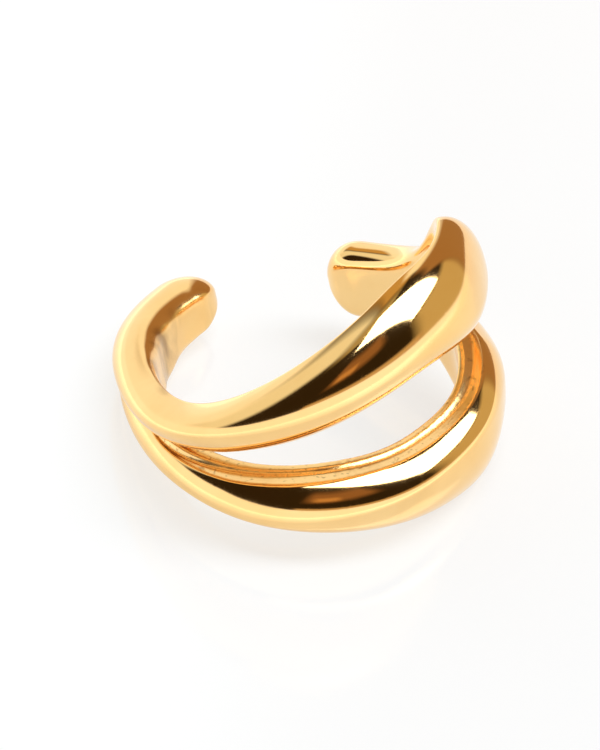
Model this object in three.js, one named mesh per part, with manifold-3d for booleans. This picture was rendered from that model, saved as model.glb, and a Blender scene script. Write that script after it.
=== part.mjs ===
// A double-band ear cuff: an open ring cast in one piece, lying on its side.
// Two domed bands part round an eye-shaped window and run together into a
// rounded stem at each end of the ring.
//
// Frame, in millimetres: +Z is up and the cuff rests on z = 0. The fat middle
// of the ring faces -Y and the gap for the ear faces +Y. The origin is under
// the centre of the bounding box.

import * as THREE from 'three';
import { ConvexHull } from 'three/addons/math/ConvexHull.js';
import Module from 'manifold-3d';

// Driving sizes
const INNER_RADIUS = 4.6;
const BAND_THICKNESS = 1.5;
const HALF_HEIGHT = 4.0;
const LEFT_END_ANGLE = 169;
const RIGHT_END_ANGLE = 131;
const END_CAP_LENGTH = 0.98;
const LIP_THICKNESS = 0.3;
const LIP_PROUD = 0.1;
const GROOVE_WIDTH = 0.5;
const GROOVE_DEPTH = 0.1;
const EDGE_CHAMFER = 0.04;
const RIM_SHARE = 0.13;
const ROUND_SHARE = 0.42;
const CREST_SHARE = 0.12;
const LIP_LIMIT = 0.6;
const FOOT_LIMIT = 0.8;
const GROOVE_FLOOR_SHARE = 0.3;
const WALL_POWER = 4.4;
const ROUND_POWER = 2.2;
const RIM_POWER = 1.93;
const DOME_POWER = 2.0;
const DOME_TURN = 38;
const LEAN_ANGLE = 17;

// Grid of the skin. LEVEL is the height under which an edge counts as level,
// STATION_GAP the least share of a step between two stations, HALVINGS the
// steps of a search, and WELD_GRID the points per millimetre that are one.
const STATIONS = 88;
const CAP_STEPS = 6;
const WALL_STEPS = 6;
const RIM_STEPS = 7;
const DOME_STEPS = 9;
const LEVEL = 1e-7;
const STATION_GAP = 0.3;
const HALVINGS = 60;
const WELD_GRID = 1e5;

const GOLD = { color: 0xe0b45c, roughness: 0.14, metalness: 1.0 };

// One row per section round the ring. at: share of the end angle, negative
// to the left end. wall: inner radius as a share of INNER_RADIUS. thick: share
// of BAND_THICKNESS. rim: height of the outer rim over the middle plane.
// window: height of the window's edge, negative where the bands are one.
// crest: height of the widest line. These three are shares of HALF_HEIGHT.
// lip: width of the ledge round the window, as a share of LIP_THICKNESS.
// soft: how round the wall's edge is, from 0, crisp, to 1.
const SECTIONS = [
  { at: -1.0, wall: 1.25, thick: 1.48, rim: 0.235, window: -0.17, crest: 0.02, lip: 1.0, soft: 1.0 },
  { at: -0.86, wall: 1.15, thick: 1.2, rim: 0.28, window: -0.11, crest: 0.1, lip: 1.0, soft: 0.95 },
  { at: -0.72, wall: 1.06, thick: 0.92, rim: 0.285, window: -0.06, crest: 0.14, lip: 1.4, soft: 0.6 },
  { at: -0.58, wall: 1.03, thick: 0.8, rim: 0.3, window: 0.0, crest: 0.18, lip: 2.2, soft: 0.15 },
  { at: -0.44, wall: 1.03, thick: 0.85, rim: 0.37, window: 0.06, crest: 0.26, lip: 1.7, soft: 0.0 },
  { at: -0.3, wall: 1.01, thick: 1.0, rim: 0.54, window: 0.12, crest: 0.38, lip: 1.2, soft: 0.0 },
  { at: -0.15, wall: 0.95, thick: 1.07, rim: 0.75, window: 0.19, crest: 0.47, lip: 1.1, soft: 0.0 },
  { at: 0.0, wall: 0.895, thick: 1.02, rim: 0.92, window: 0.27, crest: 0.53, lip: 1.1, soft: 0.0 },
  { at: 0.15, wall: 0.89, thick: 0.95, rim: 1.01, window: 0.285, crest: 0.53, lip: 1.1, soft: 0.0 },
  { at: 0.3, wall: 0.95, thick: 0.87, rim: 1.045, window: 0.245, crest: 0.49, lip: 1.0, soft: 0.0 },
  { at: 0.44, wall: 0.985, thick: 0.88, rim: 1.04, window: 0.165, crest: 0.47, lip: 1.0, soft: 0.0 },
  { at: 0.58, wall: 1.0, thick: 1.01, rim: 0.93, window: 0.07, crest: 0.47, lip: 1.0, soft: 0.2 },
  { at: 0.72, wall: 0.985, thick: 1.07, rim: 0.53, window: -0.05, crest: 0.28, lip: 1.0, soft: 0.5 },
  { at: 0.86, wall: 0.98, thick: 1.13, rim: 0.335, window: -0.2, crest: 0.12, lip: 1.0, soft: 0.8 },
  { at: 1.0, wall: 0.99, thick: 1.23, rim: 0.33, window: -0.32, crest: 0.0, lip: 1.0, soft: 0.9 },
];

// A natural cubic spline through the points (xs, ys), as a function of x.
function splineThrough(xs, ys) {
  const count = xs.length;
  const bends = new Array(count).fill(0);
  const work = new Array(count).fill(0);
  for (let i = 1; i < count - 1; i++) {
    const share = (xs[i] - xs[i - 1]) / (xs[i + 1] - xs[i - 1]);
    const pivot = share * bends[i - 1] + 2;
    const ahead = (ys[i + 1] - ys[i]) / (xs[i + 1] - xs[i]);
    const behind = (ys[i] - ys[i - 1]) / (xs[i] - xs[i - 1]);
    bends[i] = (share - 1) / pivot;
    work[i] = ((6 * (ahead - behind)) / (xs[i + 1] - xs[i - 1]) - share * work[i - 1]) / pivot;
  }
  bends[count - 1] = 0;
  for (let i = count - 2; i >= 0; i--) {
    bends[i] = bends[i] * bends[i + 1] + work[i];
  }
  return (x) => {
    const clamped = Math.min(Math.max(x, xs[0]), xs[count - 1]);
    let i = 0;
    while (i < count - 2 && xs[i + 1] < clamped) i += 1;
    const step = xs[i + 1] - xs[i];
    const a = (xs[i + 1] - clamped) / step;
    const b = 1 - a;
    const cubic = ((a ** 3 - a) * bends[i] + (b ** 3 - b) * bends[i + 1]) * step * step;
    return a * ys[i] + b * ys[i + 1] + cubic / 6;
  };
}

const endAngle = (share) => share * (share < 0 ? LEFT_END_ANGLE : RIGHT_END_ANGLE);
const column = (name, size) => {
  const angles = SECTIONS.map((row) => endAngle(row.at));
  return splineThrough(angles, SECTIONS.map((row) => row[name] * size));
};

const wallAt = column('wall', INNER_RADIUS);
const thickAt = column('thick', BAND_THICKNESS);
const rimAt = column('rim', HALF_HEIGHT);
const windowAt = column('window', HALF_HEIGHT);
const crestAt = column('crest', HALF_HEIGHT);
const lipAt = column('lip', LIP_THICKNESS);
const softAt = column('soft', 1);

// The angle between low and high where the function crosses zero.
function crossing(valueAt, low, high) {
  let [a, b] = [low, high];
  for (let i = 0; i < HALVINGS; i++) {
    const middle = (a + b) / 2;
    if (Math.sign(valueAt(middle)) === Math.sign(valueAt(a))) a = middle;
    else b = middle;
  }
  return (a + b) / 2;
}

// A quarter of a superellipse, from (1, 0) to (0, 1), at the angle u.
function quarter(u, power) {
  const [c, s] = [Math.cos(u), Math.sin(u)];
  const reach = (Math.abs(c) ** power + Math.abs(s) ** power) ** (-1 / power);
  return [reach * c, reach * s];
}

// The upper band's section at an angle, as [out from the wall, up] pairs. It
// runs from the window's edge up the inner wall, over the rim and the crest,
// down the dome to its foot, and round the lip.
function sectionAt(angle) {
  const thick = thickAt(angle);
  const rim = rimAt(angle);
  const edge = Math.abs(windowAt(angle)) < LEVEL ? 0 : windowAt(angle);
  const footLevel = Math.abs(edge + LIP_PROUD) < LEVEL ? 0 : edge + LIP_PROUD;
  const open = Math.max(footLevel, 0);
  const crest = Math.max(crestAt(angle), open + CREST_SHARE * rim);
  const lip = Math.min(lipAt(angle), LIP_LIMIT * thick);
  const groove = Math.min(GROOVE_WIDTH, open, FOOT_LIMIT * thick - lip);
  const foot = lip + groove;
  const chamfer = Math.min(EDGE_CHAMFER, Math.max(edge, 0) / 2);
  const bottom = Math.max(edge, 0);
  const soft = THREE.MathUtils.clamp(softAt(angle), 0, 1);
  const rimDepth = THREE.MathUtils.lerp(RIM_SHARE, ROUND_SHARE, soft) * thick;
  const wallPower = THREE.MathUtils.lerp(WALL_POWER, ROUND_POWER, soft);
  const shoulder = (rim + bottom) / 2;
  const points = [[0, bottom + chamfer]];
  for (let i = 0; i <= WALL_STEPS; i++) {
    const [x, z] = quarter((i / WALL_STEPS) * (Math.PI / 2), wallPower);
    points.push([rimDepth * (1 - x), shoulder + (rim - shoulder) * z]);
  }
  for (let i = 1; i <= RIM_STEPS; i++) {
    const [z, x] = quarter((i / RIM_STEPS) * (Math.PI / 2), RIM_POWER);
    points.push([rimDepth + (thick - rimDepth) * x, crest + (rim - crest) * z]);
  }
  const turn = THREE.MathUtils.degToRad(DOME_TURN);
  const [turnOut, turnUp] = quarter(turn, DOME_POWER);
  const drop = (turnUp * crest) / (crest - footLevel);
  const last = drop >= turnUp ? turn
    : Math.atan2(drop, (1 - drop ** DOME_POWER) ** (1 / DOME_POWER));
  for (let i = 1; i <= DOME_STEPS; i++) {
    const [x, z] = quarter((i / DOME_STEPS) * last, DOME_POWER);
    const out = foot + ((thick - foot) * (x - turnOut)) / (1 - turnOut);
    points.push([out, Math.max(crest - ((crest - footLevel) * z) / turnUp, 0)]);
  }
  const end = points[points.length - 1];
  end[1] = open;
  const ledge = [
    [lip + GROOVE_FLOOR_SHARE * groove, open + Math.min(GROOVE_DEPTH, open)],
    [lip, bottom + chamfer],
    [lip - chamfer, bottom],
    [chamfer, bottom],
  ];
  return [...points, ...(open === 0 ? ledge.map(() => [end[0], 0]) : ledge)];
}

// The angles of the sections, close together at the tips of the window.
function stationAngles() {
  const footAt = (angle) => windowAt(angle) + LIP_PROUD;
  const marks = [];
  for (const valueAt of [windowAt, footAt]) {
    marks.push(crossing(valueAt, -LEFT_END_ANGLE, 0));
    marks.push(crossing(valueAt, 0, RIGHT_END_ANGLE));
  }
  const step = (LEFT_END_ANGLE + RIGHT_END_ANGLE) / STATIONS;
  const angles = [...marks];
  for (let i = 0; i <= STATIONS; i++) {
    const angle = -LEFT_END_ANGLE + step * i;
    const spare = marks.every((mark) => Math.abs(mark - angle) > STATION_GAP * step);
    if (spare) angles.push(angle);
  }
  return angles.sort((a, b) => a - b);
}

// Rows of points for one half: side is 1 above the middle plane, -1 below.
function halfRows(side) {
  const capAngle = THREE.MathUtils.radToDeg(END_CAP_LENGTH / INNER_RADIUS);
  const angles = stationAngles().map((angle) => ({ angle, size: 1 }));
  for (let i = 1; i < CAP_STEPS; i++) {
    const turn = ((i / CAP_STEPS) * Math.PI) / 2;
    const [over, size] = [capAngle * Math.sin(turn), Math.cos(turn)];
    angles.unshift({ angle: -LEFT_END_ANGLE - over, size });
    angles.push({ angle: RIGHT_END_ANGLE + over, size });
  }
  return angles.map(({ angle, size }) => {
    const middle = thickAt(angle) / 2;
    const turn = THREE.MathUtils.degToRad(angle - 90);
    return sectionAt(angle).map(([out, up]) => {
      const radius = wallAt(angle) + middle + (out - middle) * size;
      return [radius * Math.cos(turn), radius * Math.sin(turn), side * up * size];
    });
  });
}

// The whole skin of the cuff about the ring's centre, the ring's axis upright.
function buildSkin() {
  const positions = [];
  const indices = [];
  const known = new Map();
  const vertex = (point) => {
    const key = point.map((value) => Math.round(value * WELD_GRID)).join();
    if (!known.has(key)) {
      known.set(key, positions.length / 3);
      positions.push(...point);
    }
    return known.get(key);
  };
  const face = (a, b, c, side) => {
    if (a === b || b === c || c === a) return;
    if (side > 0) indices.push(a, c, b);
    else indices.push(a, b, c);
  };
  const capAngle = THREE.MathUtils.radToDeg(END_CAP_LENGTH / INNER_RADIUS);
  const poles = [-LEFT_END_ANGLE - capAngle, RIGHT_END_ANGLE + capAngle].map((angle) => {
    const turn = THREE.MathUtils.degToRad(angle - 90);
    const radius = wallAt(angle) + thickAt(angle) / 2;
    return vertex([radius * Math.cos(turn), radius * Math.sin(turn), 0]);
  });
  for (const side of [1, -1]) {
    const rows = halfRows(side).map((row) => row.map((point) => vertex(point)));
    const flat = (index) => positions[index * 3 + 2] === 0;
    for (let r = 0; r + 1 < rows.length; r++) {
      const [here, next] = [rows[r], rows[r + 1]];
      for (let i = 0; i < here.length; i++) {
        const j = (i + 1) % here.length;
        const corners = [here[i], here[j], next[j], next[i]];
        if (corners.every(flat)) continue;
        face(here[i], next[i], next[j], side);
        face(here[i], next[j], here[j], side);
      }
    }
    for (const [row, pole, way] of [[rows[0], poles[0], 1], [rows[rows.length - 1], poles[1], -1]]) {
      for (let i = 0; i + 1 < row.length; i++) {
        if (flat(row[i]) && flat(row[i + 1])) continue;
        face(pole, row[i], row[i + 1], side * way);
      }
    }
  }
  const geometry = new THREE.BufferGeometry();
  geometry.setAttribute('position', new THREE.Float32BufferAttribute(positions, 3));
  geometry.setIndex(indices);
  return geometry;
}

// The turns about X and then Y that lay the shape on its steadiest face near
// the pose it has: of the hull's faces whose footprint the centre of mass
// stands over, the one that needs the least turning.
function restingTurns(geometry, centre) {
  const position = geometry.getAttribute('position');
  const points = [];
  for (let i = 0; i < position.count; i++) {
    points.push(new THREE.Vector3().fromBufferAttribute(position, i));
  }
  const hull = new ConvexHull().setFromPoints(points);
  const down = new THREE.Vector3(0, 0, -1);
  let best = null;
  for (const side of hull.faces) {
    const corners = [];
    let edge = side.edge;
    do {
      corners.push(edge.head().point);
      edge = edge.next;
    } while (edge !== side.edge);
    const foot = centre.clone().addScaledVector(side.normal, -side.distanceToPoint(centre));
    const held = corners.every((corner, i) => {
      const along = corners[(i + 1) % corners.length].clone().sub(corner);
      return along.cross(foot.clone().sub(corner)).dot(side.normal) >= -1e-6;
    });
    const turn = side.normal.angleTo(down);
    if (held && (!best || turn < best.turn)) best = { turn, normal: side.normal };
  }
  const { x, y, z } = best.normal;
  return { aboutX: Math.atan2(-y, -z), aboutY: Math.atan2(x, Math.hypot(y, z)) };
}

// The centre of mass of a closed skin of even density.
function centreOfMass(geometry) {
  const position = geometry.getAttribute('position');
  const index = geometry.getIndex();
  const centre = new THREE.Vector3();
  let volume = 0;
  for (let i = 0; i < index.count; i += 3) {
    const [a, b, c] = [0, 1, 2].map((k) => (
      new THREE.Vector3().fromBufferAttribute(position, index.getX(i + k))));
    const share = a.dot(b.clone().cross(c)) / 6;
    volume += share;
    centre.addScaledVector(a.add(b).add(c), share / 4);
  }
  return centre.divideScalar(volume);
}

// Joins the skin into one closed body. A skin with a hole in it is refused.
async function closedBody(geometry) {
  const wasm = await Module();
  wasm.setup();
  const mesh = new wasm.Mesh({
    numProp: 3,
    vertProperties: geometry.getAttribute('position').array,
    triVerts: new Uint32Array(geometry.getIndex().array),
  });
  const body = new wasm.Manifold(mesh).getMesh();
  const clean = new THREE.BufferGeometry();
  clean.setAttribute('position', new THREE.Float32BufferAttribute(body.vertProperties, 3));
  clean.setIndex(Array.from(body.triVerts));
  return clean;
}

// Leans the ring, settles it on the floor and centres it over the origin.
function layDown(geometry) {
  geometry.rotateX(THREE.MathUtils.degToRad(-LEAN_ANGLE));
  const { aboutX, aboutY } = restingTurns(geometry, centreOfMass(geometry));
  geometry.rotateX(aboutX);
  geometry.rotateY(aboutY);
  geometry.computeBoundingBox();
  const { min, max } = geometry.boundingBox;
  geometry.translate(-(min.x + max.x) / 2, -(min.y + max.y) / 2, -min.z);
  return geometry;
}

const cuff = new THREE.Mesh(
  layDown(await closedBody(buildSkin())),
  new THREE.MeshStandardMaterial(GOLD),
);
cuff.name = 'cuff_body';
cuff.geometry.computeVertexNormals();

const part = new THREE.Group();
part.name = 'ear_cuff';
part.add(cuff);

export default part;
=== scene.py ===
"""The looks of a gold ear cuff that lies on a white studio floor.

The cuff is one polished casting: two domed bands that part round an
eye-shaped window and run together into a rounded stem at each end.
Lengths are in metres and the frame is that of the CAD part.
"""

from __future__ import annotations

import logging
import math
from dataclasses import dataclass, field
from enum import Enum
from typing import Callable, NamedTuple

import bpy
import numpy as np
from mathutils import Matrix, Vector

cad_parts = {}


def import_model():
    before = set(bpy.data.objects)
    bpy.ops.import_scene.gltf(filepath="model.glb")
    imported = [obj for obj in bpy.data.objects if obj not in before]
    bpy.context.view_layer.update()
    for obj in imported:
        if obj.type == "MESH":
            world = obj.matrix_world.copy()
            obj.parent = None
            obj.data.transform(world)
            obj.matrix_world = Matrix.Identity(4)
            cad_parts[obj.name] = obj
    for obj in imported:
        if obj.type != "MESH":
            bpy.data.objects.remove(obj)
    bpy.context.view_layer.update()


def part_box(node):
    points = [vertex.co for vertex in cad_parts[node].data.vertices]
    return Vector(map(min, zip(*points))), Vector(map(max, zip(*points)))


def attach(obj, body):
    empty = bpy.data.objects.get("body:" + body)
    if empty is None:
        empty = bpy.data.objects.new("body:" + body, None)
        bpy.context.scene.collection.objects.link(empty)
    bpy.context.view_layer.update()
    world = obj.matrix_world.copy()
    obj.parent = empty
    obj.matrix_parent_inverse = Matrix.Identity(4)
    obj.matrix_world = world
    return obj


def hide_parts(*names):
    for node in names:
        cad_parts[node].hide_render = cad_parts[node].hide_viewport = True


LOG = logging.getLogger("ear_cuff")
MM = 0.001
UPRIGHT = (0.0, 0.0, 1.0)
NOISE_MIDDLE = 0.5

# A quarter and a full turn in degrees, and a quarter turn in radians
QUARTER_TURN = 90.0
FULL_TURN = 360.0
RIGHT_ANGLE = math.pi / 2

# A height under LEVEL millimetres counts as none. Points become one where
# they round to the same place on a grid of WELD_GRID steps a millimetre.
LEVEL = 1e-7
WELD_GRID = 1e5

# The window's tips are found by so many halvings, and no other section
# stands nearer to a tip than this share of a step.
HALVINGS = 60
STATION_GAP = 0.3

Point = tuple[float, float, float]
Triple = tuple[float, float, float]
Colour = tuple[float, float, float, float]


class Node(str, Enum):
    """Names shared with the CAD part."""

    BODY = "root"
    CUFF = "cuff_body"
    SLOT = "gold"


class Side(Enum):
    """The half of the ring, above or below its middle plane."""

    UPPER = 1
    LOWER = -1


class Mark(str, Enum):
    """Marks on the skin that the finish and the polish read."""

    LEDGE = "ledge"
    WALL = "wall"


class Section(NamedTuple):
    """One section of the ring.

    at is a share of the end angle, negative to the left end. wall is the
    inner radius and thick the thickness, each as a share of its size. rim,
    window and crest are heights over the middle plane, as shares of the half
    height. window is negative where the two bands are one. lip is the width
    of the ledge round the window, as a share of the lip's thickness. soft is
    how round the wall's edge is, from 0, crisp, to 1.
    """

    at: float
    wall: float
    thick: float
    rim: float
    window: float
    crest: float
    lip: float
    soft: float


SECTIONS: tuple[Section, ...] = (
    Section(at=-1.0, wall=1.25, thick=1.48, rim=0.235, window=-0.17, crest=0.02, lip=1.0, soft=1.0),
    Section(at=-0.86, wall=1.15, thick=1.2, rim=0.28, window=-0.11, crest=0.1, lip=1.0, soft=0.95),
    Section(at=-0.72, wall=1.06, thick=0.92, rim=0.285, window=-0.06, crest=0.14, lip=1.4, soft=0.6),
    Section(at=-0.58, wall=1.03, thick=0.8, rim=0.3, window=0.0, crest=0.18, lip=2.2, soft=0.15),
    Section(at=-0.44, wall=1.03, thick=0.85, rim=0.37, window=0.06, crest=0.26, lip=1.7, soft=0.0),
    Section(at=-0.3, wall=1.01, thick=1.0, rim=0.54, window=0.12, crest=0.38, lip=1.2, soft=0.0),
    Section(at=-0.15, wall=0.95, thick=1.07, rim=0.75, window=0.19, crest=0.47, lip=1.1, soft=0.0),
    Section(at=0.0, wall=0.895, thick=1.02, rim=0.92, window=0.27, crest=0.53, lip=1.1, soft=0.0),
    Section(at=0.15, wall=0.89, thick=0.95, rim=1.01, window=0.285, crest=0.53, lip=1.1, soft=0.0),
    Section(at=0.3, wall=0.95, thick=0.87, rim=1.045, window=0.245, crest=0.49, lip=1.0, soft=0.0),
    Section(at=0.44, wall=0.985, thick=0.88, rim=1.04, window=0.165, crest=0.47, lip=1.0, soft=0.0),
    Section(at=0.58, wall=1.0, thick=1.01, rim=0.93, window=0.07, crest=0.47, lip=1.0, soft=0.2),
    Section(at=0.72, wall=0.985, thick=1.07, rim=0.53, window=-0.05, crest=0.28, lip=1.0, soft=0.5),
    Section(at=0.86, wall=0.98, thick=1.13, rim=0.335, window=-0.2, crest=0.12, lip=1.0, soft=0.8),
    Section(at=1.0, wall=0.99, thick=1.23, rim=0.33, window=-0.32, crest=0.0, lip=1.0, soft=0.9),
)


def natural_spline(xs: np.ndarray, ys: np.ndarray) -> Callable[[float], float]:
    """Runs a natural cubic spline through points.

    Args:
        xs: Rising positions.
        ys: The value at each position.

    Returns:
        The spline as a function of position, held level past both ends.
    """
    count = len(xs)
    gaps = np.diff(xs)
    slopes = np.diff(ys) / gaps
    system = np.eye(count)
    right = np.zeros(count)
    for i in range(1, count - 1):
        system[i, i - 1] = gaps[i - 1]
        system[i, i] = 2 * (gaps[i - 1] + gaps[i])
        system[i, i + 1] = gaps[i]
        right[i] = 6 * (slopes[i] - slopes[i - 1])
    bends = np.linalg.solve(system, right)

    def value(x: float) -> float:
        """Reads the spline.

        Args:
            x: A position.

        Returns:
            The value there.
        """
        x = min(max(x, xs[0]), xs[-1])
        i = int(np.clip(np.searchsorted(xs, x) - 1, 0, count - 2))
        a = (xs[i + 1] - x) / gaps[i]
        b = 1 - a
        cubic = (a**3 - a) * bends[i] + (b**3 - b) * bends[i + 1]
        return float(a * ys[i] + b * ys[i + 1] + cubic * gaps[i] ** 2 / 6)

    return value


def quarter(turn: float, power: float) -> tuple[float, float]:
    """Finds a point on a quarter of a superellipse from (1, 0) to (0, 1).

    Args:
        turn: The angle of the point, in radians.
        power: The superellipse's exponent.

    Returns:
        The point's two coordinates.
    """
    c, s = abs(math.cos(turn)), abs(math.sin(turn))
    reach = (c**power + s**power) ** (-1 / power)
    return reach * c, reach * s


def levelled(height: float) -> float:
    """Takes a height that is as good as none to zero.

    Args:
        height: A height in millimetres.

    Returns:
        The height, or zero.
    """
    return 0.0 if abs(height) < LEVEL else height


class Sheet:
    """A small helper that adds and joins nodes in one node tree."""

    def __init__(self, tree: bpy.types.NodeTree) -> None:
        """Takes the tree to work in.

        Args:
            tree: The node tree of a material, a world or a group.
        """
        self.tree = tree

    def add(self, kind: str, **inputs: object) -> bpy.types.Node:
        """Adds a node and fills its inputs.

        Args:
            kind: Blender's name for the node.
            **inputs: Values or sockets by input name, with _ for a space.

        Returns:
            The new node.
        """
        node = self.tree.nodes.new(kind)
        for key, value in inputs.items():
            self.set(node.inputs[key.replace("_", " ")], value)
        return node

    def set(self, socket: bpy.types.NodeSocket, value: object) -> None:
        """Links a socket to an input or sets its value.

        Args:
            socket: The input.
            value: A socket to link or a constant.
        """
        if isinstance(value, bpy.types.NodeSocket):
            self.tree.links.new(value, socket)
        else:
            socket.default_value = value

    def math(self, operation: str, *terms: object) -> bpy.types.NodeSocket:
        """Adds a math node.

        Args:
            operation: Blender's name for the sum.
            *terms: Sockets or constants.

        Returns:
            The result's socket.
        """
        node = self.tree.nodes.new("ShaderNodeMath")
        node.operation = operation
        for socket, term in zip(node.inputs, terms):
            self.set(socket, term)
        return node.outputs["Value"]

    def blend(self, share: object, first: object, second: object) -> bpy.types.NodeSocket:
        """Mixes two colours.

        Args:
            share: How much of the second, from 0 to 1.
            first: The first colour.
            second: The second colour.

        Returns:
            The mixed colour's socket.
        """
        node = self.tree.nodes.new("ShaderNodeMix")
        node.data_type = "RGBA"
        given = {"Factor_Float": share, "A_Color": first, "B_Color": second}
        for socket in node.inputs:
            if socket.identifier in given:
                self.set(socket, given[socket.identifier])
        return next(socket for socket in node.outputs if socket.identifier == "Result_Color")

    def spread(
        self, value: object, low: float, high: float, start: float, end: float
    ) -> bpy.types.NodeSocket:
        """Maps a range onto another and clamps it.

        Args:
            value: What is mapped.
            low: The bottom of the first range.
            high: The top of the first range.
            start: What low becomes.
            end: What high becomes.

        Returns:
            The mapped value's socket.
        """
        given = {"Value": value, "From_Min": low, "From_Max": high, "To_Min": start, "To_Max": end}
        return self.add("ShaderNodeMapRange", **given).outputs["Result"]

    def mark(self, mark: Mark) -> bpy.types.NodeSocket:
        """Reads a mark of the skin in a material.

        Args:
            mark: Which mark.

        Returns:
            The mark's socket, from 0 to 1.
        """
        node = self.tree.nodes.new("ShaderNodeAttribute")
        node.attribute_name = mark.value
        return node.outputs["Fac"]


@dataclass(frozen=True)
class Relief:
    """Noise that lifts and sinks the skin.

    depth is in metres and size is how many waves go into a metre. It counts
    where mark is set, or all over where there is no mark.
    """

    name: str
    depth: float
    size: float
    detail: float
    mark: Mark | None = None

    @property
    def depth_input(self) -> str:
        """Names the tree's input for the depth.

        Returns:
            The input's name.
        """
        return self.name + " Depth"

    @property
    def size_input(self) -> str:
        """Names the tree's input for the size.

        Returns:
            The input's name.
        """
        return self.name + " Size"

    def height(self, sheet: Sheet, given: bpy.types.NodeOutputs) -> bpy.types.NodeSocket:
        """Adds the noise to the polish's tree.

        Args:
            sheet: The tree's node helper.
            given: The sockets of the tree's inputs.

        Returns:
            The socket of the height over the skin.
        """
        noise = sheet.add("ShaderNodeTexNoise", Detail=self.detail)
        noise.noise_dimensions = "4D"
        sheet.set(noise.inputs["W"], given["Seed"])
        sheet.set(noise.inputs["Scale"], given[self.size_input])
        centred = sheet.math("SUBTRACT", noise.outputs["Fac"], NOISE_MIDDLE)
        depth = given[self.depth_input]
        if self.mark is not None:
            marked = sheet.tree.nodes.new("GeometryNodeInputNamedAttribute")
            marked.data_type = "FLOAT"
            sheet.set(marked.inputs["Name"], self.mark.value)
            depth = sheet.math("MULTIPLY", marked.outputs["Attribute"], depth)
        return sheet.math("MULTIPLY", centred, depth)


@dataclass(frozen=True)
class PolishNodes:
    """Geometry Nodes that round the cage, wave it, pit the ledge and dent the wall."""

    name: str = "Hand polish"
    reliefs: tuple[Relief, ...] = (
        Relief("Wave", depth=0.008 * MM, size=260.0, detail=1.0),
        Relief("Pit", depth=0.03 * MM, size=9000.0, detail=3.0, mark=Mark.LEDGE),
        Relief("Dent", depth=0.16 * MM, size=900.0, detail=0.0, mark=Mark.WALL),
    )
    seed: int = 7
    level: int = 1

    def tree(self) -> bpy.types.NodeTree:
        """Builds the node tree.

        Returns:
            The tree, with its inputs named.
        """
        tree = bpy.data.node_groups.new(self.name, "GeometryNodeTree")
        face = tree.interface
        face.new_socket("Geometry", in_out="INPUT", socket_type="NodeSocketGeometry")
        for relief in self.reliefs:
            for name in (relief.depth_input, relief.size_input):
                face.new_socket(name, in_out="INPUT", socket_type="NodeSocketFloat")
        face.new_socket("Seed", in_out="INPUT", socket_type="NodeSocketInt")
        face.new_socket("Material", in_out="INPUT", socket_type="NodeSocketMaterial")
        face.new_socket("Geometry", in_out="OUTPUT", socket_type="NodeSocketGeometry")
        sheet = Sheet(tree)
        given = sheet.add("NodeGroupInput").outputs
        rounded = sheet.add("GeometryNodeSubdivisionSurface", Mesh=given["Geometry"], Level=self.level)
        normal = sheet.add("GeometryNodeInputNormal").outputs["Normal"]
        total, *others = [relief.height(sheet, given) for relief in self.reliefs]
        for height in others:
            total = sheet.math("ADD", total, height)
        push = sheet.add("ShaderNodeVectorMath")
        push.operation = "SCALE"
        sheet.set(push.inputs["Vector"], normal)
        sheet.set(push.inputs["Scale"], total)
        moved = sheet.add(
            "GeometryNodeSetPosition", Geometry=rounded.outputs["Mesh"], Offset=push.outputs["Vector"]
        )
        smooth = sheet.add("GeometryNodeSetShadeSmooth", Geometry=moved.outputs["Geometry"])
        real = sheet.add("GeometryNodeRealizeInstances", Geometry=smooth.outputs["Geometry"])
        dressed = sheet.add(
            "GeometryNodeSetMaterial", Geometry=real.outputs["Geometry"], Material=given["Material"]
        )
        sheet.add("NodeGroupOutput", Geometry=dressed.outputs["Geometry"])
        return tree

    def bake(self, cage: bpy.types.Object, name: str, gold: bpy.types.Material) -> bpy.types.Object:
        """Runs the tree on a cage and keeps the result as a plain mesh.

        Args:
            cage: The object to polish; it is removed.
            name: What the result is called.
            gold: The material that the tree sets.

        Returns:
            The polished object.
        """
        tree = self.tree()
        values: dict[str, object] = {"Seed": self.seed, "Material": gold}
        for relief in self.reliefs:
            values[relief.depth_input] = relief.depth
            values[relief.size_input] = relief.size
        modifier = cage.modifiers.new(self.name, "NODES")
        modifier.node_group = tree
        for item in tree.interface.items_tree:
            if item.in_out == "INPUT" and item.name in values:
                modifier[item.identifier] = values[item.name]
        bpy.context.view_layer.update()
        graph = bpy.context.evaluated_depsgraph_get()
        mesh = bpy.data.meshes.new_from_object(cage.evaluated_get(graph), depsgraph=graph)
        mesh.name = name
        made = bpy.data.objects.new(name, mesh)
        bpy.context.scene.collection.objects.link(made)
        bpy.data.objects.remove(cage)
        return made


class Skin:
    """A closed skin: its points in millimetres, its faces and its ledge marks."""

    def __init__(self) -> None:
        """Starts with no points."""
        self.points: list[Point] = []
        self.faces: list[list[int]] = []
        self.ledge: list[float] = []
        self.known: dict[tuple[int, ...], int] = {}

    def add_point(self, point: Point, on_ledge: bool = False) -> int:
        """Adds a point, or finds the one that is there already.

        Args:
            point: Where it is.
            on_ledge: Whether it belongs to the ledge round the window.

        Returns:
            The point's number.
        """
        key = tuple(round(value * WELD_GRID) for value in point)
        if key not in self.known:
            self.known[key] = len(self.points)
            self.points.append(point)
            self.ledge.append(1.0 if on_ledge else 0.0)
        return self.known[key]

    def add_face(self, corners: list[int], side: Side) -> None:
        """Adds a face, unless it lies in the middle plane or has no area.

        Args:
            corners: Point numbers in turn; equal neighbours become one.
            side: The half that it belongs to, which turns it outward.
        """
        if all(self.points[corner][2] == 0 for corner in corners):
            return
        ring = [corner for i, corner in enumerate(corners) if corner != corners[i - 1]]
        if len(ring) > 2:
            self.faces.append(ring if side is Side.LOWER else ring[::-1])


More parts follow.
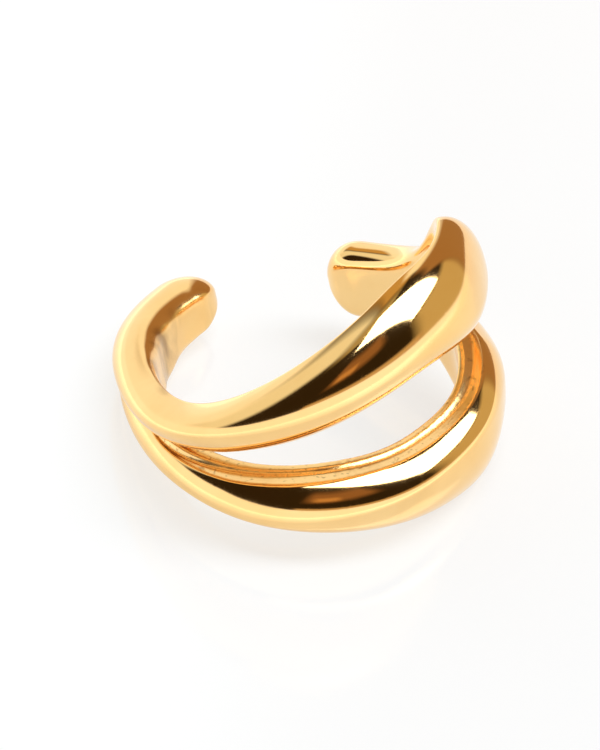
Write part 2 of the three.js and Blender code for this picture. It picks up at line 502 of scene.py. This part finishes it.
@dataclass
class Cuff:
    """The cuff's skin: its sizes in millimetres, its mesh and its dress."""

    inner_radius: float = 4.6
    band_thickness: float = 1.5
    half_height: float = 4.0
    left_end: float = 169.0
    right_end: float = 131.0
    cap_length: float = 0.98
    lip_thickness: float = 0.3
    lip_proud: float = 0.1
    groove_width: float = 0.5
    groove_depth: float = 0.1
    edge_chamfer: float = 0.04
    rim_share: float = 0.13
    round_share: float = 0.42
    crest_share: float = 0.12
    groove_floor_share: float = 0.3
    lip_limit: float = 0.6
    foot_limit: float = 0.8
    wall_power: float = 4.4
    round_power: float = 2.2
    rim_power: float = 1.93
    dome_power: float = 2.0
    dome_turn: float = 38.0
    end_margin: float = 15.0
    rough_inside: float = 0.066
    rough_outside: float = 0.286
    rough_from: float = 0.5
    rough_fade: float = 0.12
    lean: float = -12.69
    roll: float = -9.83
    stations: int = 150
    cap_steps: int = 10
    wall_steps: int = 7
    rim_steps: int = 9
    dome_steps: int = 12
    name: str = "cuff_skin"
    columns: dict[str, Callable[[float], float]] = field(init=False, default_factory=dict)

    def __post_init__(self) -> None:
        """Turns the table of sections into one smooth function per column."""
        angles = np.array([self.end_angle(row.at) for row in SECTIONS])
        sizes = {
            "wall": self.inner_radius,
            "thick": self.band_thickness,
            "rim": self.half_height,
            "window": self.half_height,
            "crest": self.half_height,
            "lip": self.lip_thickness,
            "soft": 1.0,
        }
        for key, size in sizes.items():
            lengths = np.array([getattr(row, key) * size for row in SECTIONS])
            self.columns[key] = natural_spline(angles, lengths)

    def end_angle(self, share: float) -> float:
        """Turns a share of the end angle into degrees.

        Args:
            share: From -1 at the left end to 1 at the right end.

        Returns:
            The angle from the fat middle of the ring.
        """
        return share * (self.left_end if share < 0 else self.right_end)

    def crossing(self, lift: float, low: float, high: float) -> float:
        """Finds where the window's edge, lifted a little, meets the middle plane.

        Args:
            lift: How far the edge is lifted.
            low: An angle on one side of the crossing.
            high: An angle on the other side.

        Returns:
            The angle of the crossing.
        """
        low_is_open = self.columns["window"](low) + lift > 0
        for _ in range(HALVINGS):
            middle = (low + high) / 2
            if (self.columns["window"](middle) + lift > 0) == low_is_open:
                low = middle
            else:
                high = middle
        return (low + high) / 2

    def station_angles(self) -> list[float]:
        """Lists the angles of the sections, with the window's tips among them.

        Returns:
            Rising angles in degrees.
        """
        marks = []
        for lift in (0.0, self.lip_proud):
            marks.append(self.crossing(lift, -self.left_end, 0.0))
            marks.append(self.crossing(lift, 0.0, self.right_end))
        step = (self.left_end + self.right_end) / self.stations
        evenly = [-self.left_end + step * i for i in range(self.stations + 1)]
        kept = [a for a in evenly if all(abs(a - mark) > STATION_GAP * step for mark in marks)]
        return sorted(marks + kept)

    def section(self, angle: float) -> tuple[list[tuple[float, float]], list[tuple[float, float]]]:
        """Traces the upper band's section.

        Args:
            angle: Where round the ring, in degrees.

        Returns:
            Two lists of pairs of distance out from the wall and height. The
            first runs up the wall and over the rim and the dome. The second
            is the groove and the ledge back to the wall, and lies flat in
            the middle plane where the bands are one.
        """
        thick = self.columns["thick"](angle)
        rim = self.columns["rim"](angle)
        edge = levelled(self.columns["window"](angle))
        foot_level = levelled(edge + self.lip_proud)
        opening = max(foot_level, 0.0)
        bottom = max(edge, 0.0)
        crest = max(self.columns["crest"](angle), opening + self.crest_share * rim)
        lip = min(self.columns["lip"](angle), self.lip_limit * thick)
        groove = min(self.groove_width, opening, self.foot_limit * thick - lip)
        foot = lip + groove
        chamfer = min(self.edge_chamfer, bottom / 2)
        soft = min(max(self.columns["soft"](angle), 0.0), 1.0)
        rim_depth = (self.rim_share + (self.round_share - self.rim_share) * soft) * thick
        wall_power = self.wall_power + (self.round_power - self.wall_power) * soft
        shoulder = (rim + bottom) / 2
        points = [(0.0, bottom + chamfer)]
        for i in range(self.wall_steps + 1):
            x, z = quarter(i / self.wall_steps * RIGHT_ANGLE, wall_power)
            points.append((rim_depth * (1 - x), shoulder + (rim - shoulder) * z))
        for i in range(1, self.rim_steps + 1):
            z, x = quarter(i / self.rim_steps * RIGHT_ANGLE, self.rim_power)
            points.append((rim_depth + (thick - rim_depth) * x, crest + (rim - crest) * z))
        last = math.radians(self.dome_turn)
        end_x, end_z = quarter(last, self.dome_power)
        drop = end_z * crest / (crest - foot_level)
        if drop < end_z:
            last = math.atan2(drop, (1 - drop**self.dome_power) ** (1 / self.dome_power))
        for i in range(1, self.dome_steps + 1):
            x, z = quarter(i / self.dome_steps * last, self.dome_power)
            height = max(crest - (crest - foot_level) * z / end_z, 0.0)
            points.append((foot + (thick - foot) * (x - end_x) / (1 - end_x), height))
        end = points.pop()[0]
        ledge = [
            (end, foot_level),
            (lip + self.groove_floor_share * groove, foot_level + min(self.groove_depth, opening)),
            (lip, bottom + chamfer),
            (lip - chamfer, bottom),
            (chamfer, bottom),
        ]
        return points, ledge if opening > 0 else [(end, 0.0)] * len(ledge)

    def place(self, angle: float, out: float, up: float) -> Point:
        """Turns ring coordinates into a point with the ring's axis upright.

        Args:
            angle: Where round the ring, in degrees.
            out: The distance from the ring's axis.
            up: The height over the middle plane.

        Returns:
            The point in millimetres.
        """
        turn = math.radians(angle - QUARTER_TURN)
        return out * math.cos(turn), out * math.sin(turn), up

    def line(self, skin: Skin, angle: float, size: float, side: Side) -> list[int]:
        """Adds one section's points to a skin.

        Args:
            skin: Where they go.
            angle: Where round the ring, in degrees.
            size: How large the section is, which falls from 1 in the caps.
            side: The upper or the lower band.

        Returns:
            The numbers of the points, in turn round the section.
        """
        middle = self.columns["thick"](angle) / 2
        wall = self.columns["wall"](angle)
        dome, ledge = self.section(angle)
        is_open = ledge[0][1] > 0
        line = []
        for i, (out, up) in enumerate(dome + ledge):
            radius = wall + middle + (out - middle) * size
            spot = self.place(angle, radius, side.value * up * size)
            line.append(skin.add_point(spot, is_open and i >= len(dome)))
        return line

    def skin(self) -> Skin:
        """Builds the closed skin of both bands, the ends and the ledge.

        Returns:
            The skin with the ring's axis upright.
        """
        skin = Skin()
        cap_angle = math.degrees(self.cap_length / self.inner_radius)
        rows = [(angle, 1.0) for angle in self.station_angles()]
        for i in range(1, self.cap_steps):
            turn = i / self.cap_steps * RIGHT_ANGLE
            over, size = cap_angle * math.sin(turn), math.cos(turn)
            rows.insert(0, (-self.left_end - over, size))
            rows.append((self.right_end + over, size))
        poles = []
        for angle in (-self.left_end - cap_angle, self.right_end + cap_angle):
            radius = self.columns["wall"](angle) + self.columns["thick"](angle) / 2
            poles.append(skin.add_point(self.place(angle, radius, 0.0)))
        left_pole, right_pole = poles
        for side in Side:
            grid = [self.line(skin, angle, size, side) for angle, size in rows]
            for here, after in zip(grid, grid[1:]):
                for i, corner in enumerate(here):
                    j = (i + 1) % len(here)
                    skin.add_face([corner, after[i], after[j], here[j]], side)
            for a, b in zip(grid[0], grid[0][1:]):
                skin.add_face([a, b, left_pole], side)
            for a, b in zip(grid[-1], grid[-1][1:]):
                skin.add_face([b, a, right_pole], side)
        return skin

    def resting(self, points: list[Point], low: Vector, high: Vector) -> np.ndarray:
        """Lays the skin down and fits it to the box of the CAD body.

        Args:
            points: The skin's points with the ring's axis upright.
            low: The lowest corner of the CAD body, in metres.
            high: The highest corner of the CAD body.

        Returns:
            The points where the cuff rests, in metres.
        """
        turn = Matrix.Rotation(math.radians(self.roll), 3, "Y")
        turn = turn @ Matrix.Rotation(math.radians(self.lean), 3, "X")
        laid = np.array(points) @ np.array(turn).T * MM
        middle = (laid.min(axis=0) + laid.max(axis=0)) / 2
        centre = (np.array(low) + np.array(high)) / 2
        laid += centre - middle
        laid[:, 2] += low.z - laid[:, 2].min()
        return laid

    def wall_marks(self, points: list[Point]) -> list[float]:
        """Marks the rough inner wall of the left stem.

        Args:
            points: The skin's points with the ring's axis upright.

        Returns:
            For each point 1 on that wall, falling to 0 just off it.
        """
        marks = []
        for x, y, _ in points:
            angle = math.degrees(math.atan2(y, x)) + QUARTER_TURN
            if angle > self.right_end + self.end_margin:
                angle -= FULL_TURN
            depth = math.hypot(x, y) - self.columns["wall"](angle)
            near = (self.rough_outside - depth) / (self.rough_outside - self.rough_inside)
            along = (-angle / self.left_end - self.rough_from) / self.rough_fade
            marks.append(max(0.0, min(1.0, near, along)))
        return marks

    def build(
        self, low: Vector, high: Vector, polish: PolishNodes, gold: bpy.types.Material
    ) -> bpy.types.Object:
        """Makes the dressed cuff.

        Args:
            low: The lowest corner of the CAD body.
            high: The highest corner of the CAD body.
            polish: The node tree that rounds and polishes the skin.
            gold: The metal.

        Returns:
            The finished object, with its place in its mesh.
        """
        skin = self.skin()
        laid = self.resting(skin.points, low, high)
        mesh = bpy.data.meshes.new(self.name + "_cage")
        mesh.from_pydata(laid.tolist(), [], skin.faces)
        mesh.validate()
        marks = {Mark.LEDGE: skin.ledge, Mark.WALL: self.wall_marks(skin.points)}
        for mark, shares in marks.items():
            layer = mesh.attributes.new(mark.value, "FLOAT", "POINT")
            layer.data.foreach_set("value", shares)
        cage = bpy.data.objects.new(self.name + "_cage", mesh)
        bpy.context.scene.collection.objects.link(cage)
        return polish.bake(cage, self.name, gold)


@dataclass(frozen=True)
class SurfaceWear:
    """A node group of handling marks: smears, fine scratches and their normal."""

    name: str = "Surface wear"
    smear_detail: float = 4.0
    smear_roughness: float = 0.6
    smear_distortion: float = 0.4
    scratch_turn: Triple = (0.4, 0.7, 0.3)
    scratch_stretch: Triple = (1.0, 0.06, 1.0)
    scratch_detail: float = 5.0
    scratch_roughness: float = 0.7
    scratch_from: float = 0.56
    scratch_full: float = 0.72
    scratch_height: float = 0.35
    relief: float = 0.02 * MM

    def group(self) -> bpy.types.NodeTree:
        """Builds the group once and hands it out after that.

        Returns:
            The group, which puts out Smear, Scratch and Normal.
        """
        if self.name in bpy.data.node_groups:
            return bpy.data.node_groups[self.name]
        tree = bpy.data.node_groups.new(self.name, "ShaderNodeTree")
        face = tree.interface
        face.new_socket("Vector", in_out="INPUT", socket_type="NodeSocketVector")
        for key in ("Smear Scale", "Scratch Scale", "Bump"):
            face.new_socket(key, in_out="INPUT", socket_type="NodeSocketFloat")
        for key in ("Smear", "Scratch"):
            face.new_socket(key, in_out="OUTPUT", socket_type="NodeSocketFloat")
        face.new_socket("Normal", in_out="OUTPUT", socket_type="NodeSocketVector")
        sheet = Sheet(tree)
        given = sheet.add("NodeGroupInput").outputs
        smear = sheet.add(
            "ShaderNodeTexNoise",
            Vector=given["Vector"],
            Scale=given["Smear Scale"],
            Detail=self.smear_detail,
            Roughness=self.smear_roughness,
            Distortion=self.smear_distortion,
        ).outputs["Fac"]
        stretched = sheet.add(
            "ShaderNodeMapping",
            Vector=given["Vector"],
            Rotation=self.scratch_turn,
            Scale=self.scratch_stretch,
        )
        scratch = sheet.add(
            "ShaderNodeTexNoise",
            Vector=stretched.outputs["Vector"],
            Scale=given["Scratch Scale"],
            Detail=self.scratch_detail,
            Roughness=self.scratch_roughness,
        )
        fine = sheet.spread(scratch.outputs["Fac"], self.scratch_from, self.scratch_full, 0.0, 1.0)
        height = sheet.math("ADD", sheet.math("MULTIPLY", fine, self.scratch_height), smear)
        bump = sheet.add("ShaderNodeBump", Strength=given["Bump"], Distance=self.relief, Height=height)
        sheet.add("NodeGroupOutput", Smear=smear, Scratch=fine, Normal=bump.outputs["Normal"])
        return tree

    def marks(
        self, sheet: Sheet, smear_scale: float, scratch_scale: float, bump: float
    ) -> bpy.types.NodeOutputs:
        """Puts the group into a material.

        Args:
            sheet: The material's node helper.
            smear_scale: How many smears go into a metre.
            scratch_scale: How many scratches go into a metre.
            bump: How strong the normal is.

        Returns:
            The group's outputs.
        """
        node = sheet.tree.nodes.new("ShaderNodeGroup")
        node.node_tree = self.group()
        sheet.set(node.inputs["Vector"], sheet.add("ShaderNodeTexCoord").outputs["Object"])
        sheet.set(node.inputs["Smear Scale"], smear_scale)
        sheet.set(node.inputs["Scratch Scale"], scratch_scale)
        sheet.set(node.inputs["Bump"], bump)
        return node.outputs


@dataclass(frozen=True)
class Mottle:
    """Noise cut to soft spots.

    The spots begin where the noise is low and are full where it is high.
    """

    scale: float
    detail: float
    low: float
    high: float
    strength: float
    distortion: float = 0.0
    turn: Triple = (0.0, 0.0, 0.0)
    stretch: Triple = (1.0, 1.0, 1.0)

    def spots(self, sheet: Sheet, mark: Mark) -> bpy.types.NodeSocket:
        """Adds the spots where the skin is marked.

        Args:
            sheet: The material's node helper.
            mark: The mark that they are kept to.

        Returns:
            A socket from 0 off the spots to the full strength on them.
        """
        place = sheet.add("ShaderNodeTexCoord").outputs["Object"]
        turned = sheet.add("ShaderNodeMapping", Vector=place, Rotation=self.turn, Scale=self.stretch)
        noise = sheet.add(
            "ShaderNodeTexNoise",
            Vector=turned.outputs["Vector"],
            Scale=self.scale,
            Detail=self.detail,
            Distortion=self.distortion,
        )
        spots = sheet.spread(noise.outputs["Fac"], self.low, self.high, 0.0, self.strength)
        return sheet.math("MULTIPLY", spots, sheet.mark(mark))


@dataclass(frozen=True)
class Finish:
    """What every material has: its name, its handling marks and their reach.

    Smears count from where their noise is smear_low to where it is
    smear_high.
    """

    name: str
    smear_scale: float
    scratch_scale: float
    bump: float
    smear_low: float
    smear_high: float

    def start(self) -> tuple[bpy.types.Material, Sheet]:
        """Makes a material with no nodes.

        Returns:
            The material and its node helper.
        """
        material = bpy.data.materials.new(self.name)
        material.use_nodes = True
        material.node_tree.nodes.clear()
        return material, Sheet(material.node_tree)

    def surface(self, sheet: Sheet, **inputs: object) -> None:
        """Adds the shader and gives it to the material.

        Args:
            sheet: The material's node helper.
            **inputs: The shader's inputs by name, with _ for a space.
        """
        shader = sheet.add("ShaderNodeBsdfPrincipled", **inputs)
        end = sheet.add("ShaderNodeOutputMaterial", Surface=shader.outputs["BSDF"])
        end.is_active_output = True


@dataclass(frozen=True)
class GoldFinish(Finish):
    """Polished yellow gold, pitted on the ledge, with painted dark reflections on the left stem's
    inner wall and painted shade in the groove and other hollows.
    """

    name: str = "polished_gold"
    smear_scale: float = 350.0
    scratch_scale: float = 3000.0
    bump: float = 0.06
    smear_low: float = 0.35
    smear_high: float = 0.65
    light: Colour = (0.97, 0.66, 0.29, 1.0)
    deep: Colour = (0.94, 0.61, 0.25, 1.0)
    # groove is the colour of painted shade, laid into the groove and other hollows
    groove: Colour = (0.62, 0.33, 0.09, 1.0)
    wall_reflection_colour: Colour = (0.42, 0.25, 0.1, 1.0)
    # Painted reflection: a dark brown that stands in for the facing band mirrored in the left stem's
    # polished inner wall
    pit: Colour = (0.3, 0.16, 0.05, 1.0)
    hollow_reach: float = 0.35 * MM
    hollow_full: float = 0.25
    hollow_clear: float = 0.75
    # How far the painted shade darkens the hollows towards groove
    hollow_shade_strength: float = 0.6
    # Painted reflection: mottled, upright streaks of that dark brown, kept to the left stem's inner
    # wall
    wall_reflection_spots: Mottle = Mottle(
        scale=600.0,
        detail=3.0,
        low=0.42,
        high=0.6,
        strength=0.9,
        distortion=0.6,
        turn=(0.0, 0.5, 0.6),
        stretch=(1.0, 1.0, 0.3),
    )
    pits: Mottle = Mottle(scale=5500.0, detail=2.0, low=0.6, high=0.68, strength=0.5)
    polish: float = 0.07
    smear_roughness: float = 0.04
    wall_roughness: float = 0.13
    ledge_roughness: float = 0.12
    scratch_roughness: float = 0.05

    def build(self, wear: SurfaceWear) -> bpy.types.Material:
        """Makes the material.

        Args:
            wear: The group of handling marks.

        Returns:
            The material.
        """
        material, sheet = self.start()
        marks = wear.marks(sheet, self.smear_scale, self.scratch_scale, self.bump)
        smear = sheet.spread(marks["Smear"], self.smear_low, self.smear_high, 0.0, 1.0)
        colour = sheet.blend(smear, self.light, self.deep)
        # Painted shade: ambient occlusion darkens the colour towards groove in the groove, the crease
        # round the window and other hollows
        openness = sheet.add("ShaderNodeAmbientOcclusion", Distance=self.hollow_reach).outputs["AO"]
        shade_in_hollows = sheet.spread(openness, self.hollow_full, self.hollow_clear, 1.0, 0.0)
        colour = sheet.blend(sheet.math("MULTIPLY", shade_in_hollows, self.hollow_shade_strength), colour, self.groove)
        # Painted reflection: dark brown streaks on the left stem's inner wall
        colour = sheet.blend(self.wall_reflection_spots.spots(sheet, Mark.WALL), colour, self.wall_reflection_colour)
        colour = sheet.blend(self.pits.spots(sheet, Mark.LEDGE), colour, self.pit)
        rough = sheet.spread(smear, 0.0, 1.0, self.polish, self.polish + self.smear_roughness)
        for where, more in (
            (sheet.mark(Mark.WALL), self.wall_roughness),
            (sheet.mark(Mark.LEDGE), self.ledge_roughness),
            (marks["Scratch"], self.scratch_roughness),
        ):
            rough = sheet.math("MULTIPLY_ADD", where, more, rough)
        self.surface(sheet, Base_Color=colour, Metallic=1.0, Roughness=rough, Normal=marks["Normal"])
        return material


@dataclass(frozen=True)
class FloorFinish(Finish):
    """A glossy white board with faint smears, which glows a little."""

    name: str = "white_board"
    smear_scale: float = 60.0
    scratch_scale: float = 300.0
    bump: float = 0.01
    smear_low: float = 0.3
    smear_high: float = 0.7
    shade: Colour = (0.3, 0.33, 0.36, 1.0)
    worn: Colour = (0.285, 0.315, 0.345, 1.0)
    gloss: float = 0.12
    smear_roughness: float = 0.03
    refraction: float = 1.5
    light: Colour = (1.0, 1.0, 1.0, 1.0)
    glow: float = 0.68

    def build(self, wear: SurfaceWear) -> bpy.types.Material:
        """Makes the material.

        Args:
            wear: The group of handling marks.

        Returns:
            The material.
        """
        material, sheet = self.start()
        marks = wear.marks(sheet, self.smear_scale, self.scratch_scale, self.bump)
        smear = marks["Smear"]
        dull = self.gloss + self.smear_roughness
        self.surface(
            sheet,
            Base_Color=sheet.blend(smear, self.shade, self.worn),
            Roughness=sheet.spread(smear, self.smear_low, self.smear_high, self.gloss, dull),
            IOR=self.refraction,
            Normal=marks["Normal"],
            Emission_Color=self.light,
            Emission_Strength=self.glow,
        )
        return material


@dataclass(frozen=True)
class Spot:
    """A direction from the cuff and a distance, in degrees and metres.

    azimuth 0 is in front of the fat middle of the ring, at -Y, and 90 is at
    +X.
    """

    azimuth: float
    elevation: float
    distance: float

    def point(self, centre: Vector) -> Vector:
        """Finds the spot.

        Args:
            centre: What the spot is measured from.

        Returns:
            The spot in the part's frame.
        """
        a, e = math.radians(self.azimuth), math.radians(self.elevation)
        way = Vector((math.sin(a) * math.cos(e), -math.cos(a) * math.cos(e), math.sin(e)))
        return centre + way * self.distance


@dataclass(frozen=True)
class SoftBox:
    """A lamp that faces the cuff, in metres and watts."""

    name: str
    spot: Spot
    width: float
    height: float
    power: float

    def build(self, centre: Vector) -> bpy.types.Object:
        """Makes the lamp.

        Args:
            centre: What it faces.

        Returns:
            The light object.
        """
        data = bpy.data.lights.new(self.name, "AREA")
        data.shape = "RECTANGLE"
        data.size = self.width
        data.size_y = self.height
        data.energy = self.power
        lamp = bpy.data.objects.new(self.name, data)
        lamp.location = self.spot.point(centre)
        lamp.rotation_euler = (centre - lamp.location).to_track_quat("-Z", "Y").to_euler()
        bpy.context.scene.collection.objects.link(lamp)
        return lamp


@dataclass(frozen=True)
class Glow:
    """A soft-edged patch of the surround, with its middle and half sizes in degrees.

    Its elevation counts from the horizon, or from the cove's top where on_cove
    is true. Its soft edge takes at most edge_limit of its half height.
    """

    name: str
    azimuth: float
    elevation: float
    half_width: float
    half_height: float
    colour: Triple
    edge: float = 4.0
    on_cove: bool = False
    edge_limit: float = 0.6

    def mask(
        self, sheet: Sheet, way: bpy.types.NodeSocket, over: bpy.types.NodeSocket
    ) -> bpy.types.NodeSocket:
        """Works out how much of this patch a direction sees.

        Args:
            sheet: The world's node helper.
            way: The direction's socket.
            over: The direction's height over the cove's top.

        Returns:
            A socket from 0 outside the patch to 1 inside.
        """
        turn = -math.radians(self.azimuth)
        turned = sheet.add("ShaderNodeVectorRotate", Vector=way, Axis=UPRIGHT, Angle=turn)
        parts = sheet.add("ShaderNodeSeparateXYZ", Vector=turned.outputs["Vector"])
        ahead = sheet.math("MULTIPLY", parts.outputs["Y"], -1.0)
        across = sheet.math("ABSOLUTE", sheet.math("ARCTAN2", parts.outputs["X"], ahead))
        height = over if self.on_cove else sheet.math("ARCSINE", parts.outputs["Z"])
        middle = math.radians(self.elevation)
        along = sheet.math("ABSOLUTE", sheet.math("SUBTRACT", height, middle))
        wide, tall = math.radians(self.half_width), math.radians(self.half_height)
        side_edge = math.radians(self.edge)
        top_edge = min(side_edge, self.edge_limit * tall)
        sides = sheet.spread(across, wide - side_edge, wide + side_edge, 1.0, 0.0)
        ends = sheet.spread(along, tall - top_edge, tall + top_edge, 1.0, 0.0)
        return sheet.math("MULTIPLY", sides, ends)


@dataclass(frozen=True)
class Surround:
    """What the metal mirrors: a pale cove under a dim, warm room."""

    name: str = "surround"
    room: Colour = (0.03, 0.018, 0.007, 1.0)
    cove: Colour = (1.25, 1.22, 1.2, 1.0)
    cove_top: float = 14.0
    cove_tilt: float = 16.0
    cove_azimuth: float = -66.0
    cove_edge: float = 1.2
    glows: tuple[Glow, ...] = (
        Glow("warm ceiling", -161.0, 76.0, 45.0, 9.0, (0.45, 0.36, 0.18), 5.0),
        Glow("warm corner", 169.0, 42.0, 14.0, 22.0, (0.6, 0.37, 0.12)),
        Glow("side reflector", -151.0, 38.0, 20.0, 28.0, (0.95, 0.95, 0.85), 6.0),
        Glow("low reflector", 174.0, 8.0, 24.0, 14.0, (1.1, 1.1, 1.05)),
        Glow("tall reflector", 152.0, 22.0, 12.0, 33.0, (1.1, 1.08, 1.0), 3.0),
        Glow("warm wall", 72.0, 15.0, 24.0, 22.0, (0.62, 0.48, 0.24)),
        Glow("amber wall", 120.0, 22.0, 26.0, 38.0, (0.4, 0.22, 0.09)),
        Glow("amber ceiling", -11.0, 60.0, 32.0, 10.0, (0.3, 0.14, 0.05), 5.0),
        Glow("amber strip", -24.0, 55.0, 12.0, 4.0, (0.6, 0.3, 0.1), 3.0),
        Glow("amber sill", 2.0, 3.0, 48.0, 3.5, (0.62, 0.42, 0.22), 2.0, on_cove=True),
    )

    def build(self) -> None:
        """Makes the world of the scene."""
        world = bpy.data.worlds.new(self.name)
        bpy.context.scene.world = world
        world.use_nodes = True
        world.node_tree.nodes.clear()
        sheet = Sheet(world.node_tree)
        way = sheet.add("ShaderNodeTexCoord").outputs["Generated"]
        parts = sheet.add("ShaderNodeSeparateXYZ", Vector=way)
        height = sheet.math("ARCSINE", parts.outputs["Z"])
        turn = math.radians(self.cove_azimuth)
        sideways = sheet.math("MULTIPLY", parts.outputs["X"], math.sin(turn))
        ahead = sheet.math("MULTIPLY", parts.outputs["Y"], -math.cos(turn))
        toward = sheet.math("ADD", sideways, ahead)
        tilt, level = math.radians(self.cove_tilt), math.radians(self.cove_top)
        over = sheet.math("SUBTRACT", height, sheet.math("MULTIPLY_ADD", toward, tilt, level))
        colour: object = self.room
        for glow in self.glows:
            colour = sheet.blend(glow.mask(sheet, way, over), colour, (*glow.colour, 1.0))
            colour.node.label = glow.name
        edge = math.radians(self.cove_edge)
        colour = sheet.blend(sheet.spread(over, -edge, edge, 1.0, 0.0), colour, self.cove)
        light = sheet.add("ShaderNodeBackground", Color=colour, Strength=1.0)
        sheet.add("ShaderNodeOutputWorld", Surface=light.outputs["Background"])


@dataclass(frozen=True)
class Studio:
    """The floor, the surround and the lamp."""

    floor_size: float = 0.6
    floor: FloorFinish = FloorFinish()
    key: SoftBox = SoftBox("key_box", Spot(59.0, 68.0, 0.25), 0.1, 0.289, 0.52)
    surround: Surround = Surround()

    def build(self, centre: Vector, wear: SurfaceWear) -> None:
        """Makes everything round the cuff.

        Args:
            centre: The middle of the cuff.
            wear: The group of handling marks.
        """
        size = self.floor_size
        corners = [(-size, -size, 0), (size, -size, 0), (size, size, 0), (-size, size, 0)]
        mesh = bpy.data.meshes.new("floor")
        mesh.from_pydata(corners, [], [tuple(range(len(corners)))])
        mesh.materials.append(self.floor.build(wear))
        floor = bpy.data.objects.new("floor", mesh)
        bpy.context.scene.collection.objects.link(floor)
        self.key.build(centre)
        self.surround.build()


@dataclass(frozen=True)
class PhotoCamera:
    """The camera, at the photo's angle, in degrees, metres and lens millimetres."""

    view: Spot = Spot(-35.51, 37.47, 0.0729)
    roll: float = 5.29
    lens: float = 110.6
    sensor: float = 36.0
    near: float = 0.001
    far: float = 10.0
    aim: Point = (-0.00055, -0.00079, 0.00252)

    def build(self) -> bpy.types.Object:
        """Makes the camera and gives it to the scene.

        Returns:
            The camera object.
        """
        data = bpy.data.cameras.new("camera")
        data.lens = self.lens
        data.sensor_width = self.sensor
        data.clip_start = self.near
        data.clip_end = self.far
        camera = bpy.data.objects.new("camera", data)
        aim = Vector(self.aim)
        camera.location = self.view.point(aim)
        facing = (aim - camera.location).to_track_quat("-Z", "Y").to_matrix()
        turned = facing @ Matrix.Rotation(math.radians(self.roll), 3, "Z")
        camera.rotation_euler = turned.to_euler()
        bpy.context.scene.collection.objects.link(camera)
        bpy.context.scene.camera = camera
        return camera


def main() -> None:
    """Builds the cuff and its studio in order and reports each piece."""
    logging.basicConfig(level=logging.INFO, format="%(message)s")
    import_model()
    low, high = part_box(Node.CUFF.value)
    wear = SurfaceWear()
    gold = GoldFinish().build(wear)
    cuff = Cuff().build(low, high, PolishNodes(), gold)
    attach(cuff, Node.BODY.value)
    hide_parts(Node.CUFF.value)
    LOG.info("%s: %d faces", cuff.name, len(cuff.data.polygons))
    Studio().build((low + high) / 2, wear)
    LOG.info("studio: floor, lamp and surround")
    PhotoCamera().build()
    scene = bpy.context.scene
    scene.view_settings.view_transform = "Standard"
    scene.view_settings.look = "None"
    LOG.info("camera: at the photo's angle")


if __name__ == "__main__":
    main()
